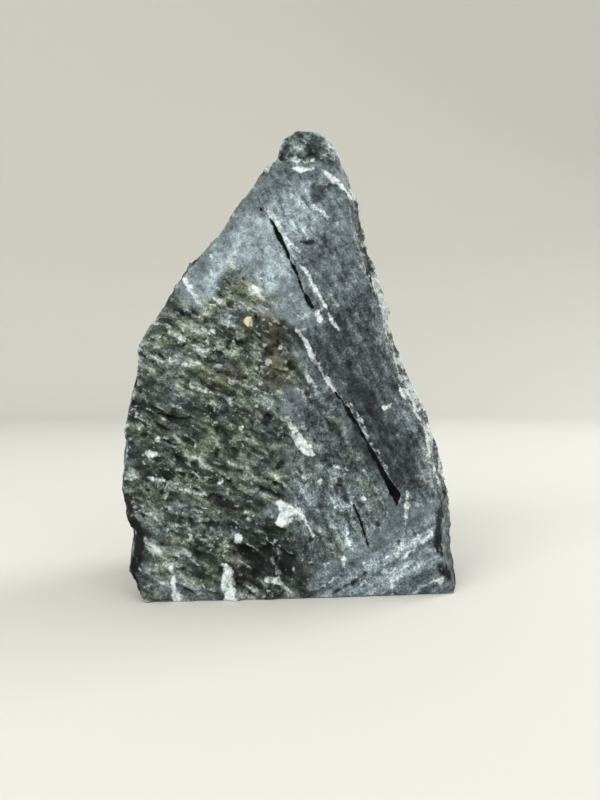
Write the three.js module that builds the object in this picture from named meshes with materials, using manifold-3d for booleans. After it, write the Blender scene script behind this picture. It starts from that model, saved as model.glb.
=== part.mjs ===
// A rough block of soapstone, broken from the bed along its layers and sawn flat across the foot so
// that it stands. One natural stone is one solid. Millimetres, +Z up. The broad broken face looks along
// -Y. The origin is the middle of the stone's bounding box, on the sawn foot.
import * as THREE from "three";
import { mergeVertices } from "three/addons/utils/BufferGeometryUtils.js";
import Module from "manifold-3d";

const wasm = await Module();
wasm.setup();

// Driving dimensions.
const HEIGHT = 218; // sawn foot to the top of the knob
const LAYER_COUNT = 7; // layers of the stone, front to back
const LAYER_DEPTH = 12; // thickness of one layer
const FRONT_Y = -40; // broad face at the middle of the foot
const FRONT_LEAN = 0.1; // how far the layers lean back for each mm of height
const FRONT_TURN = 0.06; // how far the layers run back for each mm towards +X
const FOOT_DROP = -6; // how far the rough stone reaches below the saw cut
const GREY = 0x6d7775;

// ----------------------------------------------------------------------------------------------------
// Helpers: a repeatable random stream, and solids made from three.js geometry.

function randomStream(seed) {
  let state = seed;
  return (low = 0, high = 1) => {
    state = (state + 0x6d2b79f5) | 0;
    let t = Math.imul(state ^ (state >>> 15), 1 | state);
    t = (t + Math.imul(t ^ (t >>> 7), 61 | t)) ^ t;
    return low + (high - low) * (((t ^ (t >>> 14)) >>> 0) / 4294967296);
  };
}

// The stone's layers are parallel to its broad face. A shape is drawn in layer space, where x and z are
// as in the part and y is the depth behind the broad face, and this matrix then leans and turns it with
// the layers.
const LAYER_SPACE = new THREE.Matrix4().set(
  1, 0, 0, 0,
  FRONT_TURN, 1, FRONT_LEAN, FRONT_Y,
  0, 0, 1, 0,
  0, 0, 0, 1,
);

function onFace(x, z, depth = 0) {
  return new THREE.Vector3(x, depth, z).applyMatrix4(LAYER_SPACE);
}

function bareGeometry(geometry) {
  const bare = new THREE.BufferGeometry();
  bare.setAttribute("position", geometry.getAttribute("position"));
  bare.setIndex(geometry.index);
  return mergeVertices(bare, 1e-4);
}

function solidOf(geometry) {
  const merged = bareGeometry(geometry);
  return new wasm.Manifold(
    new wasm.Mesh({
      numProp: 3,
      vertProperties: new Float32Array(merged.attributes.position.array),
      triVerts: new Uint32Array(merged.index.array),
    }),
  );
}

// A solid in layer space between two rings of [x, z, depth], drawn anticlockwise as seen from the
// front.
function loft(nearRing, farRing) {
  const count = nearRing.length;
  const capOf = (ring) =>
    THREE.ShapeUtils.triangulateShape(ring.map(([x, z]) => new THREE.Vector2(x, z)), []);
  const index = capOf(nearRing).flat();
  index.push(...capOf(farRing).flatMap(([a, b, c]) => [count + a, count + c, count + b]));
  for (let i = 0; i < count; i++) {
    const j = (i + 1) % count;
    index.push(i, count + i, count + j, i, count + j, j);
  }
  const corners = [...nearRing, ...farRing].flatMap(([x, z, depth]) => [x, depth, z]);
  const geometry = new THREE.BufferGeometry();
  geometry.setAttribute("position", new THREE.Float32BufferAttribute(corners, 3));
  geometry.setIndex(index);
  return solidOf(geometry.applyMatrix4(LAYER_SPACE));
}

// An outline of [x, z] or [x, z, depth], at one depth and drawn in towards its own middle.
function ringAt(outline, depth, drawnIn = 0) {
  const middleX = outline.reduce((sum, [x]) => sum + x, 0) / outline.length;
  const middleZ = outline.reduce((sum, [, z]) => sum + z, 0) / outline.length;
  return outline.map(([x, z]) => {
    const reach = Math.hypot(x - middleX, z - middleZ);
    const share = 1 - drawnIn / Math.max(reach, drawnIn * 2, 1);
    return [middleX + (x - middleX) * share, middleZ + (z - middleZ) * share, depth];
  });
}

// An angular lump: an icosahedron with uneven corners, stretched to its radii and turned by degrees
// about X, Y, Z.
function lump(random, place, radii, tilt, detail = 0) {
  const geometry = bareGeometry(new THREE.IcosahedronGeometry(1, detail));
  const corners = geometry.getAttribute("position");
  const corner = new THREE.Vector3();
  for (let i = 0; i < corners.count; i++) {
    corner.fromBufferAttribute(corners, i).multiplyScalar(random(0.9, 1.07));
    corners.setXYZ(i, corner.x, corner.y, corner.z);
  }
  const angles = tilt.map((angle) => THREE.MathUtils.degToRad(angle));
  const turn = new THREE.Matrix4().makeRotationFromEuler(new THREE.Euler(...angles, "YXZ"));
  return solidOf(geometry.scale(...radii).applyMatrix4(turn).translate(...place.toArray()));
}

// Everything beyond a plane, as one large box to take away.
function beyond(point, normal) {
  const size = 700;
  const box = new THREE.BoxGeometry(size, size, size).translate(0, 0, size / 2);
  const facing = new THREE.Vector3(...normal).normalize();
  const turn = new THREE.Quaternion().setFromUnitVectors(new THREE.Vector3(0, 0, 1), facing);
  return solidOf(box.applyQuaternion(turn).translate(...point));
}

function contains(outline, x, z) {
  let inside = false;
  outline.forEach(([x1, z1], i) => {
    const [x2, z2] = outline[(i + 1) % outline.length];
    if (z1 > z !== z2 > z && x < x1 + ((z - z1) * (x2 - x1)) / (z2 - z1)) inside = !inside;
  });
  return inside;
}

// A slab in layer space whose two broad sides are uneven: their depths are functions of x and z.
function reliefSlab({ left, right, foot, top, cell, near, far, random }) {
  const across = Math.round((right - left) / cell[0]);
  const up = Math.round((top - foot) / cell[1]);
  const geometry = bareGeometry(new THREE.BoxGeometry(right - left, 2, top - foot, across, 1, up));
  const corners = geometry.getAttribute("position");
  for (let i = 0; i < corners.count; i++) {
    const x = corners.getX(i) + (left + right) / 2 + random(-0.34, 0.34) * cell[0];
    const z = corners.getZ(i) + (foot + top) / 2 + random(-0.34, 0.34) * cell[1];
    corners.setXYZ(i, x, corners.getY(i) < 0 ? near(x, z) : far(x, z), z);
  }
  return solidOf(geometry.applyMatrix4(LAYER_SPACE));
}

// ----------------------------------------------------------------------------------------------------
// The outline of the broad face, anticlockwise from the right foot.

const RIGHT_EDGE = [
  [78, FOOT_DROP], [77, 7], [74, 15], [73.5, 27], [74, 43], [71.5, 58], [68, 70], [62.5, 83], [57.5, 92],
  [52.5, 104], [48.5, 117], [45, 133], [39, 150], [36, 160], [34, 170], [34, 185], [28, 196],
];
const CREST = [[21.5, HEIGHT - 9], [17, HEIGHT - 2], [8, HEIGHT + 1], [1, HEIGHT - 0.5]];
const LEFT_EDGE = [
  [-4.5, 211], [-6, 203], [-14, 196.5], [-25.5, 179.5], [-34.5, 165], [-42, 157], [-50, 148], [-59, 131],
  [-66, 119], [-69, 112], [-69.5, 101], [-71.5, 90], [-74, 77], [-73.5, 66], [-75, 53], [-74.5, 43],
  [-70, 32], [-69.5, 25], [-71, 14], [-67, 5], [-61, FOOT_DROP],
];
const FACE_OUTLINE = [...RIGHT_EDGE, ...CREST, ...LEFT_EDGE];

// The broad face's own rim: bruised back along the right edge, where it slopes to the side, and crisp
// on the left.
function faceRim(random) {
  const leftBruise = 1.2;
  return FACE_OUTLINE.map(([x, z], i) => {
    const rightBruise = random(5, 8.5) * Math.min(1, 0.35 + z / 90);
    const bruise = i < RIGHT_EDGE.length ? rightBruise : leftBruise;
    return [x - Math.sign(x - 6) * bruise, z > HEIGHT - 4 ? z - 1.5 : z, 0];
  });
}

// ----------------------------------------------------------------------------------------------------
// Layers: each is a thick slab with a ragged rim of its own. Those at the back stop lower, so the block
// tapers.

const WAIST = [2, 70]; // the middle that the layers' outlines shrink towards
const LAYER_PEAK = [1, 0.99, 0.93, 0.84, 0.72, 0.6, 0.46]; // height left above the waist, as a share
const LAYER_SHRINK = [-2.4, -3, -2.5, 0, 3, 5, 9]; // how far each rim is drawn in
const LAYER_LAP = 0.8; // how far each layer reaches into the next, so that they are one stone

function layerRing(layer, depth, random) {
  const [middleX, middleZ] = WAIST;
  const ragged = layer === 0 ? 0 : 2.4;
  const kept = ([, z], i) => layer === 0 || z < 0 || (i + layer) % 2 === 0;
  const outline = FACE_OUTLINE.filter(kept);
  return outline.map(([x, z]) => {
    const high = Math.max(0, z - middleZ);
    const top = Math.min(z, middleZ) + high * LAYER_PEAK[layer];
    const narrow = 1 - (1 - LAYER_PEAK[layer]) * 0.55 * (high / (HEIGHT - middleZ));
    const reach = Math.hypot(x - middleX, top - middleZ);
    const share = 1 - (LAYER_SHRINK[layer] + random(-ragged, ragged)) / reach;
    const foot = z < 0 ? FOOT_DROP : middleZ + (top - middleZ) * share;
    return [middleX + (x - middleX) * narrow * share, foot, depth];
  });
}

function layeredBlock() {
  const random = randomStream(11);
  let block = loft(faceRim(random), layerRing(0, LAYER_DEPTH + LAYER_LAP, random));
  for (let layer = 1; layer < LAYER_COUNT; layer++) {
    const start = layer * LAYER_DEPTH;
    const end = start + LAYER_DEPTH + LAYER_LAP;
    block = block.add(loft(layerRing(layer, start, random), layerRing(layer, end, random)));
  }
  return block;
}

// ----------------------------------------------------------------------------------------------------
// Breaks: the flat fractures that shape the face, the sides and the back, each [point, outward normal].

const BREAKS = [
  [[-44, 36, 60], [-0.62, 0.78, 0.12]], // back left corner
  [[58, 35, 50], [0.66, 0.75, 0.2]], // back right corner
  [[-73, 6, 70], [-1, 0.12, 0.06]], // left side
  [[74, 12, 50], [1, 0.1, 0.1]], // right side
  [[30, 16, 165], [0.72, 0.62, 0.36]], // behind the right shoulder
  [[-34, 8, 158], [-0.72, 0.5, 0.56]], // behind the left shoulder
  [[10, -6, 216], [0.15, 0.55, 0.8]], // behind the knob
  [onFace(-40, 156, 1.6).toArray(), [-0.26, -0.93, 0.25]], // smooth face on the upper left
  [onFace(-16, 160, 0.9).toArray(), [-0.02, -0.99, 0.1]], // smooth face beside the upper crack
  [onFace(60, 8, 0.6).toArray(), [0.1, -0.99, -0.08]], // scored foot on the right
];

// Scars: shallow shell-shaped breaks on the sides and the back, each [centre, radii].
const SCARS = [
  [[-94, 12, 60], [24, 25, 34]],
  [[-88, 24, 112], [26, 22, 30]],
  [[98, 14, 88], [34, 26, 38]],
  [[93, 30, 30], [24, 22, 26]],
  [[-34, 62, 38], [36, 23, 30]],
  [[26, 58, 92], [34, 22, 34]],
  [[44, 58, 30], [26, 20, 20]],
  [[-12, 54, 140], [28, 24, 36]],
  [[52, 34, 146], [20, 22, 34]],
  [[-58, 20, 162], [24, 20, 24]],
  [[14, 22, 208], [14, 12, 16]],
];

// The rear: two broad slopes, broken into steps where the surface follows the layers.
function rearSurface() {
  const random = randomStream(71);
  const stepDepth = 4.6;
  const near = (x, z) => {
    const lower = 80 - 0.1 * z - 0.05 * x + 2.5 * Math.sin(x / 21 + z / 34);
    const upper = 77 - 0.42 * (z - 80) - 0.08 * x + 3 * Math.sin(z / 15 - x / 26);
    const smooth = Math.min(lower, upper) + random(-1, 1);
    const stepped = Math.round(smooth / stepDepth) * stepDepth;
    return stepped * 0.8 + smooth * 0.2;
  };
  const far = () => 200;
  return reliefSlab({ left: -100, right: 100, foot: -20, top: 240, cell: [8.5, 7], near, far, random });
}

// ----------------------------------------------------------------------------------------------------
// The raised sheet on the right of the broad face: proud along the long crack, and flush at the rim.

const CRACK_EDGE = [
  [-15, 184], [-7, 168], [-1, 160], [6, 147], [11, 138], [14, 129], [11, 124.5], [4, 121],
];
const LOWER_CRACK_EDGE = [
  [5, 118], [10, 112], [15, 103], [20, 96], [25, 87], [29.5, 79], [34.5, 71], [44, 53], [50, 41],
];
const SHEET_RIM = [
  [58, 40], [67, 47], [68, 58], [63, 76], [54, 92], [49, 106], [45, 120], [41, 138], [35, 154],
  [30, 170], [29, 185], [21, 197], [7, 200], [-7, 194],
];
// The ledge that the scored foot starts from, as [x, z, depth].
const LEDGE = [
  [1, 4, -0.5], [8, 7, -0.8], [22, 14, -0.9], [38, 22, -0.8], [56, 31, -0.4], [54, 35, 0.2],
  [30, 24, 0.2], [4, 12, 0],
];

function raisedSheet() {
  const random = randomStream(37);
  const edge = [...CRACK_EDGE, ...LOWER_CRACK_EDGE];
  const edgeX = (z) => {
    const below = edge.findIndex(([, edgeZ]) => edgeZ <= z);
    if (below <= 0) return edge.at(below)[0];
    const [x1, z1] = edge[below - 1];
    const [x2, z2] = edge[below];
    return x1 + ((z - z1) * (x2 - x1)) / (z2 - z1);
  };
  const near = (x, z) => {
    const towardsRim = 0.085 * (x - edgeX(z));
    const towardsKnob = 0.1 * Math.max(0, z - 178);
    const towardsFoot = 0.18 * Math.max(0, 60 - z);
    return Math.min(0.3, -2.9 + towardsRim + towardsKnob + towardsFoot) + random(-0.3, 0.3);
  };
  const far = () => 5;
  const sheet = reliefSlab({ left: -30, right: 80, foot: 30, top: 206, cell: [10, 11], near, far, random });
  const outline = [...edge, ...SHEET_RIM];
  return sheet.intersect(loft(ringAt(outline, -8), ringAt(outline, 8)));
}

// The face as first broken: nearly flat, with broad shallow facets. This is what lies in front of it.
function frontOfFace() {
  const random = randomStream(5);
  const near = () => -40;
  const far = () => random(-0.3, 0.7);
  return reliefSlab({ left: -100, right: 100, foot: -20, top: 240, cell: [13, 15], near, far, random });
}

// Cracks: [x, z, width] down each run, closed to a sharp line at its depth.
const CRACKS = [
  {
    depth: 5,
    run: [
      [-14.5, 179.7, 0.3], [-10.7, 175.5, 0.6], [-7.4, 170.4, 1.1], [-4.9, 165.3, 1.8], [-2.3, 160.3, 1.3],
      [0.6, 153.5, 1], [3.5, 147.7, 1], [6, 140.9, 1.1], [8.5, 135.9, 1.3], [10.6, 132.2, 1.2],
      [12.4, 127, 0.4],
    ],
  },
  {
    depth: 6,
    run: [
      [9, 112, 0.3], [15, 102.5, 0.5], [22.1, 90.5, 0.9], [26.2, 84.5, 1.2], [30.3, 78.5, 1.3],
      [34.4, 71.5, 1.4], [38.6, 64, 1.5], [42.8, 55.8, 2], [46.4, 50, 3], [48.8, 46, 4], [49.4, 41, 0.6],
    ],
  },
  {
    depth: 3,
    run: [[29, 42.5, 0.4], [31.4, 37.1, 1], [33.4, 32.3, 1.2], [34.8, 27.5, 0.9], [36.6, 21.5, 0.3]],
  },
];

function crackWedge({ depth, run }) {
  const clear = 6; // how far the wedge stands in front of the face
  const closed = 0.06;
  const open = 1 + (1 - closed) * (clear / depth);
  const ring = (spread, at) => {
    const side = (sign) => run.map(([x, z, width]) => [x + (sign * spread * width) / 2, z, at]);
    return [...side(-1), ...side(1).reverse()];
  };
  return loft(ring(open, -clear), ring(closed, depth));
}

// Scoring: long shallow scratches that climb to the right across the foot, each [left, right, start
// height].
const SCORES = [[10, 34, -3], [22, 68, -5], [26, 48, -10], [30, 72, -13], [40, 70, 1]];

function scoreWedge([left, right, start]) {
  const rise = 0.5;
  const heightAt = (x) => start + (x - 4) * rise;
  const middle = (left + right) / 2;
  const run = [[right, heightAt(right), 0.5], [middle, heightAt(middle), 2.4], [left, heightAt(left), 0.5]];
  return crackWedge({ depth: 0.8, run });
}

// ----------------------------------------------------------------------------------------------------
// The rough lower left: overlapping scales that dip to the right, each proud along its lower edge like
// a roof tile.

const ROUGH_OUTLINE = [
  [-72, -4], [4, -4], [8, 6], [-3, 16], [3, 28], [-7, 40], [1, 52], [-6, 64], [2, 76], [-8, 90],
  [4, 104], [-2, 113], [3, 122], [-11, 129], [-24, 134], [-40, 124], [-58, 128], [-74, 112],
  [-77, 80], [-80, 50], [-76, 26],
];
const KNOB_OUTLINE = [
  [-15, 197], [-4, 194], [8, 199], [22, 195], [18, 206], [13, 222], [-2, 222], [-10, 210],
];

// The angular lumps of the knob, each [x, z, depth, radii, tilt].
const KNOB_LUMPS = [
  [4, 208, 8, [10, 10, 9], [10, 20, 0]],
  [16, 204, 8, [9, 10, 9], [8, -10, 0]],
  [-4, 199, 8, [9, 10, 8], [14, 30, 0]],
];

// A bed of ledges that run down to the right, each sloping out towards its lower edge.
function ledges({ outline, cell, height, proud, ragged, sunk }, random) {
  const near = (x, z) => {
    const along = (z + 0.4 * x + 3 * Math.sin(x / 9) + 2.5 * Math.sin(x / 23 + z / 13)) / height;
    const fade = 0.08 * Math.max(0, x + 14); // flatter towards the smooth face
    return sunk + fade - proud * (1 - (along - Math.floor(along))) + random(-ragged, ragged);
  };
  const far = () => 8;
  const bed = reliefSlab({ left: -90, right: 50, foot: -10, top: 230, cell, near, far, random });
  return bed.intersect(loft(ringAt(outline, -10, 1), ringAt(outline, 7)));
}

function scale(random, x, z) {
  const across = random(6, 12);
  const up = across * random(0.32, 0.5);
  const turn = THREE.MathUtils.degToRad(random(-38, -10));
  const tileTilt = random(0.15, 0.4); // depth gained for each mm up the scale
  const sideTilt = random(-0.15, 0.15);
  const proud = random(-2, -0.6);
  const corners = 6;
  const near = [];
  const far = [];
  for (let i = 0; i < corners; i++) {
    const angle = ((i + random(-0.36, 0.36)) / corners) * Math.PI * 2;
    const u = Math.cos(angle) * across * random(0.8, 1.15);
    const v = Math.sin(angle) * up * random(0.8, 1.15);
    const dx = u * Math.cos(turn) - v * Math.sin(turn);
    const dz = u * Math.sin(turn) + v * Math.cos(turn);
    const drawnIn = random(0.76, 0.92);
    near.push([x + dx * drawnIn, z + dz * drawnIn, proud + dz * tileTilt + dx * sideTilt]);
    far.push([x + dx, z + dz, 7]);
  }
  return loft(near, far);
}

function ruggedStone() {
  const random = randomStream(29);
  const spacing = 16.5;
  const lowerLeft = {
    outline: ROUGH_OUTLINE, cell: [6, 4.7], height: 11, proud: 2.3, ragged: 0.7, sunk: 0.6,
  };
  const knob = {
    outline: KNOB_OUTLINE, cell: [5, 4.2], height: 10, proud: 2, ragged: 1.2, sunk: 0.2,
  };
  let rugged = ledges(lowerLeft, random).add(ledges(knob, random));
  for (let z = 6; z < 134; z += spacing * 0.8) {
    for (let x = -74; x < 12; x += spacing) {
      const atX = x + random(-6, 6);
      const atZ = z + random(-5, 5);
      if (contains(ROUGH_OUTLINE, atX, atZ)) rugged = rugged.add(scale(random, atX, atZ));
    }
  }
  for (const [x, z, depth, radii, tilt] of KNOB_LUMPS) {
    rugged = rugged.add(lump(random, onFace(x, z, depth), radii, tilt, 1));
  }
  return rugged.intersect(loft(ringAt(FACE_OUTLINE, -10), ringAt(FACE_OUTLINE, 9)));
}

// ----------------------------------------------------------------------------------------------------
// Hollows of the face and the rims, each [x, z, depth, radii, tilt].

const HOLLOWS = [
  [-77, 40, 0, [6, 9, 9], [0, 24, 14]], // long notch in the left edge
  [-74, 27, 0, [6.5, 9, 10], [0, 8, 12]],
  [-73, 103, 0, [4.2, 8, 13], [0, -8, 0]], // narrow notch higher up
  [-17, 19, 0, [9, 5.5, 4.5], [10, 42, 0]], // hollow over the foot, of four overlapping breaks
  [-11.5, 11, 0, [6, 5, 9], [0, 8, 0]],
  [-1, 17, 0.5, [5, 3.5, 9], [0, -28, 0]],
  [-9, 22, 0, [4, 4, 6], [0, 34, 0]],
  [76, 33, 1, [6, 8, 6], [0, 34, 0]], // right edge, upper notch
  [75, 24, 2, [5.5, 8, 7], [0, -14, 0]],
  [77, 10, 2, [6.5, 8, 4.5], [0, -30, 0]], // right edge, lower notch
  [-7, 112, -2, [5, 4.5, 6], [0, 20, 0]], // rusty pocket
  [-2, 118, -2, [4.5, 4, 3.5], [0, -20, 0]],
  [-30, 73, -2.5, [8, 4.5, 3.5], [0, 24, 0]], // pocket in the rough
  [-52, 82, -2.5, [6.5, 4.5, 4], [0, 30, 0]],
  [-30, 44.5, -2.5, [7, 4.5, 3.5], [0, 26, 0]],
  [-10.5, 80, -2, [5, 4, 3.5], [0, 34, 0]],
  [-48, 14, -3, [4, 4.5, 8], [0, 10, 0]],
  [8, 207, -4, [4.5, 4.5, 4], [0, 20, 0]], // dents in the knob
  [-2, 204, -3, [3.5, 4, 4.5], [0, -20, 0]],
  [60, 94, -1, [4, 4, 6], [0, -20, 0]], // nicks in the bruised rim
  [50, 124, -1, [4, 5, 5], [0, -20, 0]],
  [71, 66, 0, [4, 5, 5], [0, -20, 0]],
];

// ----------------------------------------------------------------------------------------------------
// The stone, in the order that makes it: layers, fractures, scars, sheets, scales, lumps, hollows,
// cracks, saw cut.

function soapstoneBlock() {
  const random = randomStream(53);
  let block = layeredBlock().subtract(frontOfFace());
  for (const [point, normal] of BREAKS) block = block.subtract(beyond(point, normal));
  block = block.subtract(rearSurface());
  for (const [centre, radii] of SCARS) {
    block = block.subtract(lump(random, new THREE.Vector3(...centre), radii, [0, 0, 0], 1));
  }
  block = block.add(raisedSheet()).add(loft(LEDGE, ringAt(LEDGE, 5)));
  block = block.add(ruggedStone());
  for (const [x, z, depth, radii, tilt] of HOLLOWS) {
    block = block.subtract(lump(random, onFace(x, z, depth), radii, tilt));
  }
  for (const crack of CRACKS) block = block.subtract(crackWedge(crack));
  for (const line of SCORES) block = block.subtract(scoreWedge(line));
  return block.subtract(beyond([0, 0, 0], [0, 0, -1])).subtract(beyond([0, 0, HEIGHT], [0, 0, 1]));
}

// The solid as a three.js geometry with the middle of its bounding box over the origin.
function centred(block) {
  const made = block.getMesh();
  const geometry = new THREE.BufferGeometry();
  geometry.setAttribute("position", new THREE.BufferAttribute(new Float32Array(made.vertProperties), 3));
  geometry.setIndex(new THREE.BufferAttribute(new Uint32Array(made.triVerts), 1));
  geometry.computeBoundingBox();
  const middle = geometry.boundingBox.getCenter(new THREE.Vector3());
  return geometry.translate(-middle.x, -middle.y, 0);
}

const stone = new THREE.Mesh(
  centred(soapstoneBlock()),
  new THREE.MeshStandardMaterial({ color: GREY, roughness: 0.55, metalness: 0 }),
);
stone.name = "soapstone_block";

const part = new THREE.Group();
part.add(stone);
export default part;
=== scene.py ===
import functools
import itertools
import math

import bmesh
import bpy
import mathutils
import numpy as np
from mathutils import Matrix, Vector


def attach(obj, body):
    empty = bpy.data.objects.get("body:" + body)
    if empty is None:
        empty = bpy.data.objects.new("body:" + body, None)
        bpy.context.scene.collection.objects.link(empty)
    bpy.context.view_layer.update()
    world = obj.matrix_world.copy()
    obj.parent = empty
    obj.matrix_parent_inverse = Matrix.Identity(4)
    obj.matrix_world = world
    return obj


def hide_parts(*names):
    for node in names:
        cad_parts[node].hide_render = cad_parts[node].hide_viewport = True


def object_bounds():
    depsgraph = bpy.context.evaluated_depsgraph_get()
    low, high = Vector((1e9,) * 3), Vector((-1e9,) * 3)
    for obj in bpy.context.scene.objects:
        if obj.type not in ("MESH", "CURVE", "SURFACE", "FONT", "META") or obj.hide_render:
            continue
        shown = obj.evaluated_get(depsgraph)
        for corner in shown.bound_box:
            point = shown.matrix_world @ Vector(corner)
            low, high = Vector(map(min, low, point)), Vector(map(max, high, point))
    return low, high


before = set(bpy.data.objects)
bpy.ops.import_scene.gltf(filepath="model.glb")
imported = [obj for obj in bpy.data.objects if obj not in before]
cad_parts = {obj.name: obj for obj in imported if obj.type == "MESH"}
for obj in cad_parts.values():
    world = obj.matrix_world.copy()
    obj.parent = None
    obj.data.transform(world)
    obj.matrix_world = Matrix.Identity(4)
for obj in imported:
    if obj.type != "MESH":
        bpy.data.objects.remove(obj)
bpy.context.view_layer.update()
cad_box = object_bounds()
scene = bpy.context.scene

# ----------------------------------------
# The block: one piece of soapstone, split from its bed along the layers and sawn flat across the foot.
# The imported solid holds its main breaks. Here it gets the flakes that splitting leaves on it, the ragged
# edges of its layers, pits, scrapes and grain, all as one mesh.

MM = 0.001
DRAWN_MIDDLE = 1.18  # mm, the x of the stone's middle in the drawing that its features are placed on
FACE_SLOPE = np.array([0.06, -1.0, 0.10])  # the broad face looks along this
FACE_OFFSET = 39.9  # mm, how far the broad face stands in front of the middle at the foot
FINE = 0.00072  # m, the mesh's spacing while it is shaped
COARSE = FINE * 1.6  # m, while flakes are scattered on it
TRIANGLES = 192000  # of the finished mesh
SAW_CUT = 0.05  # mm, what lies lower than this is the sawn foot and stays flat
OFF_FLOOR = 0.02  # mm, the least that all the rest stands above the floor
FACE_REACH = 14  # mm behind the broad face, as far as its own cracks and stains go
LAYERS_RUN = -29  # degrees above level going right, so the layers fall to the right

facing = FACE_SLOPE / np.linalg.norm(FACE_SLOPE)
box_low, box_high = (np.array(corner) / MM for corner in cad_box)
stone = bpy.data.materials.new("damp soapstone")

block_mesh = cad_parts["soapstone_block"].data.copy()
merged = bmesh.new()
merged.from_mesh(block_mesh)
bmesh.ops.remove_doubles(merged, verts=merged.verts, dist=1e-6)
merged.to_mesh(block_mesh)
merged.free()
block = bpy.data.objects.new("soapstone", block_mesh)
scene.collection.objects.link(block)


def applied(obj):
    """The object's mesh with its modifiers in it, and the modifiers gone."""
    finished = bpy.data.meshes.new_from_object(obj.evaluated_get(bpy.context.evaluated_depsgraph_get()))
    obj.modifiers.clear()
    obj.data = finished
    return finished


def remeshed(obj, spacing):
    """The object's mesh made again as one skin of even spacing, which fuses what overlaps."""
    remesh = obj.modifiers.new("even", "REMESH")
    remesh.mode = "VOXEL"
    remesh.voxel_size = spacing
    return applied(obj)


class Skin:
    """A mesh's surface while it is worked, in millimetres."""

    def __init__(self, mesh):
        self.mesh = mesh
        self.count = len(mesh.vertices)
        self.points, self.normals = self.read("co") / MM, self.read("normal")
        ends = np.empty(len(mesh.edges) * 2, np.int32)
        mesh.edges.foreach_get("vertices", ends)
        self.near, self.far = ends.reshape(-1, 2).T
        self.neighbours = np.bincount(ends, minlength=self.count)

    def read(self, what):
        flat = np.empty(self.count * 3, np.float32)
        self.mesh.vertices.foreach_get(what, flat)
        return flat.reshape(-1, 3).astype(float)

    def move_to(self, places):
        self.points = places
        self.mesh.vertices.foreach_set("co", (places * MM).astype(np.float32).ravel())
        self.mesh.update()
        self.normals = self.read("normal")

    def relaxed(self, values, rounds):
        """Values evened out over the mesh: each becomes the mean of its neighbours', again and again."""
        for _ in range(rounds):
            totals = [
                np.bincount(self.near, values[self.far, k], self.count)
                + np.bincount(self.far, values[self.near, k], self.count)
                for k in range(values.shape[1])
            ]
            values = np.stack(totals, 1) / self.neighbours[:, None]
        return values

    def keep(self, name, values):
        """Keeps values on the mesh under a name, for the material or a scatter to read."""
        layer = self.mesh.attributes.new(name, "FLOAT", "POINT")
        layer.data.foreach_set("value", values.astype(np.float32))


SCRAMBLE = (31, 0x9E3779B97F4A7C15), (29, 0xBF58476D1CE4E5B9)  # (shift, factor), to mix bits well


def lattice(cells, salt):
    """A repeatable random number from 0 to 1 for each whole-numbered cell and salt."""
    mixed = np.full(len(cells), (salt * SCRAMBLE[0][1]) % 2**64, np.uint64)
    for column in cells.T:
        mixed ^= column.astype(np.uint64)
        for shift, factor in SCRAMBLE:
            mixed *= np.uint64(factor)
            mixed ^= mixed >> np.uint64(shift)
    return (mixed >> np.uint64(11)) / 2.0**53


def lumps(places, size, salt):
    """Smooth random values from -1 to 1, in lumps of that size."""
    scaled = places / size + 0.37 * salt
    home = np.floor(scaled).astype(np.int64)
    part = scaled - home
    part = part * part * part * (part * (part * 6 - 15) + 10)
    value = np.zeros(len(places))
    for step in itertools.product((0, 1), repeat=places.shape[1]):
        share = np.prod(np.where(step, part, 1 - part), axis=1)
        value += share * lattice(home + step, salt)
    return value * 2 - 1


def plates(places, size, salt):
    """Flat broken plates of that size: each point's plate as its tone from 0 to 1, its random leans from
    -1 to 1, and how far the point lies from the plate's middle."""
    scaled = places / size
    home = np.floor(scaled).astype(np.int64)
    nearest = np.full(len(places), np.inf)
    away = np.zeros_like(scaled)
    own = np.zeros_like(home)
    for step in itertools.product((-1, 0, 1), repeat=places.shape[1]):
        cells = home + step
        shift = np.stack([lattice(cells, salt + k) for k in range(places.shape[1])], 1)
        gap = scaled - cells - 0.1 - 0.8 * shift
        reach = (gap**2).sum(1)
        closer = reach < nearest
        nearest = np.where(closer, reach, nearest)
        away[closer] = gap[closer]
        own[closer] = cells[closer]
    leans = np.stack([lattice(own, salt + 11 + k) for k in range(places.shape[1])], 1) * 2 - 1
    return lattice(own, salt + 7), leans, away * size


def step_up(values, low, high):
    """0 below low, 1 above high, and smooth between."""
    t = np.clip((values - low) / (high - low), 0, 1)
    return t * t * (3 - 2 * t)


def fading(depth, full, gone):
    """1 as far behind the broad face as full, and 0 from gone on, in millimetres."""
    return step_up(-depth, -gone, -full)


def to_line(line, x, z):
    """How far each point lies outside a line drawn as (x, z, half its width)."""
    best = np.full(len(x), np.inf)
    if len(line) == 1:
        line = line * 2
    for (x1, z1, w1), (x2, z2, w2) in zip(line, line[1:]):
        dx, dz = x2 - x1, z2 - z1
        t = np.clip(((x - x1) * dx + (z - z1) * dz) / max(dx * dx + dz * dz, 1e-9), 0, 1)
        best = np.minimum(best, np.hypot(x - x1 - t * dx, z - z1 - t * dz) - (w1 + t * (w2 - w1)))
    return best


def inside_by(outline, x, z):
    """How far each point lies inside a closed outline of (x, z), and negative outside it."""
    within = np.zeros(len(x), bool)
    best = np.full(len(x), np.inf)
    for (x1, z1), (x2, z2) in zip(outline, outline[1:] + outline[:1]):
        best = np.minimum(best, to_line([(x1, z1, 0), (x2, z2, 0)], x, z))
        crosses = (z1 > z) != (z2 > z)
        within ^= crosses & (x < x1 + (z - z1) * (x2 - x1) / ((z2 - z1) or 1e-9))
    return np.where(within, best, -best)


def turned(x, z, degrees):
    """Places along and across a direction that many degrees above level going right."""
    c, s = math.cos(math.radians(degrees)), math.sin(math.radians(degrees))
    return np.stack([x * c + z * s, z * c - x * s], 1)


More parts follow.
